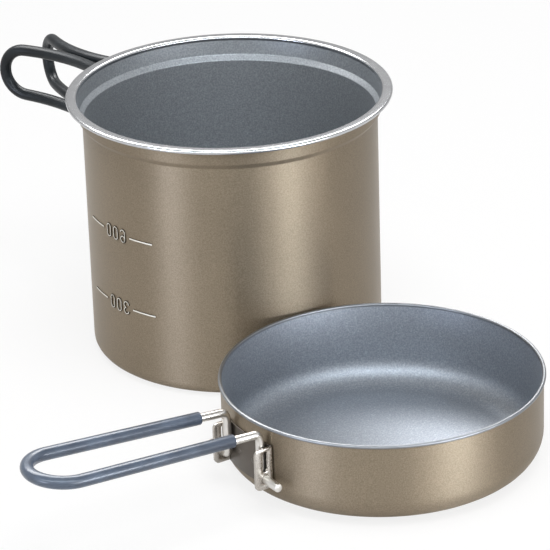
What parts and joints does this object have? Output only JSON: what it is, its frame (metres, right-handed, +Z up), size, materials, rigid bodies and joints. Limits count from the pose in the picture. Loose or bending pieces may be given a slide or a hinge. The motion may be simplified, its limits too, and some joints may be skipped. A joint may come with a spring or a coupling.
{
  "type": "cooking pot set",
  "caption": "Titanium camping cook set: a tall pot with a stepped, rolled lip, volume marks and folding wire loop handles, beside a shallow frying pan with a long folding wire handle.",
  "frame": {"origin": "centre of the pot's base, on the surface that the pot and the pan stand on", "axes": "+Z up along the pot's axis, +X to the right and +Y away from the cook; the pan stands towards +X and -Y"},
  "size_m": [0.2076, 0.2971, 0.1035],
  "materials": {
    "titanium": "matt bead-blasted titanium, warm grey",
    "steel": "bright stainless steel",
    "charcoal_tube": "satin silicone tube",
    "blue_grey_tube": "glossy silicone tube"
  },
  "bodies": {
    "pot": {"pot_shell": "titanium", "pot_handle_bracket": "steel"},
    "front_handle": {"front_handle_wire": "steel", "front_handle_sleeve": "charcoal_tube"},
    "rear_handle": {"rear_handle_wire": "steel", "rear_handle_sleeve": "charcoal_tube"},
    "pan": {"pan_shell": "titanium", "pan_handle_bracket": "steel"},
    "pan_handle": {"pan_handle_wire": "steel", "pan_handle_sleeve": "blue_grey_tube"}
  },
  "joints": [
    {"name": "front_handle_fold", "type": "hinge", "parent": "pot", "child": "front_handle", "pos_m": [-0.04803, 0.04019, 0.0824], "axis": [0, 0, 1], "range_deg": [0, 127]},
    {"name": "rear_handle_fold", "type": "hinge", "parent": "pot", "child": "rear_handle", "pos_m": [-0.03495, 0.05196, 0.0824], "axis": [0, 0, -1], "range_deg": [0, 127]},
    {"name": "pan_lift", "type": "slide", "parent": "pot", "child": "pan", "axis": [0.3166, -0.6323, 0.7071], "range_m": [0, 0.12]},
    {"name": "pan_handle_fold", "type": "hinge", "parent": "pan", "child": "pan_handle", "pos_m": [0.00202, -0.13886, 0.0132], "axis": [0.5446, -0.8387, 0], "range_deg": [0, 182]}
  ]
}
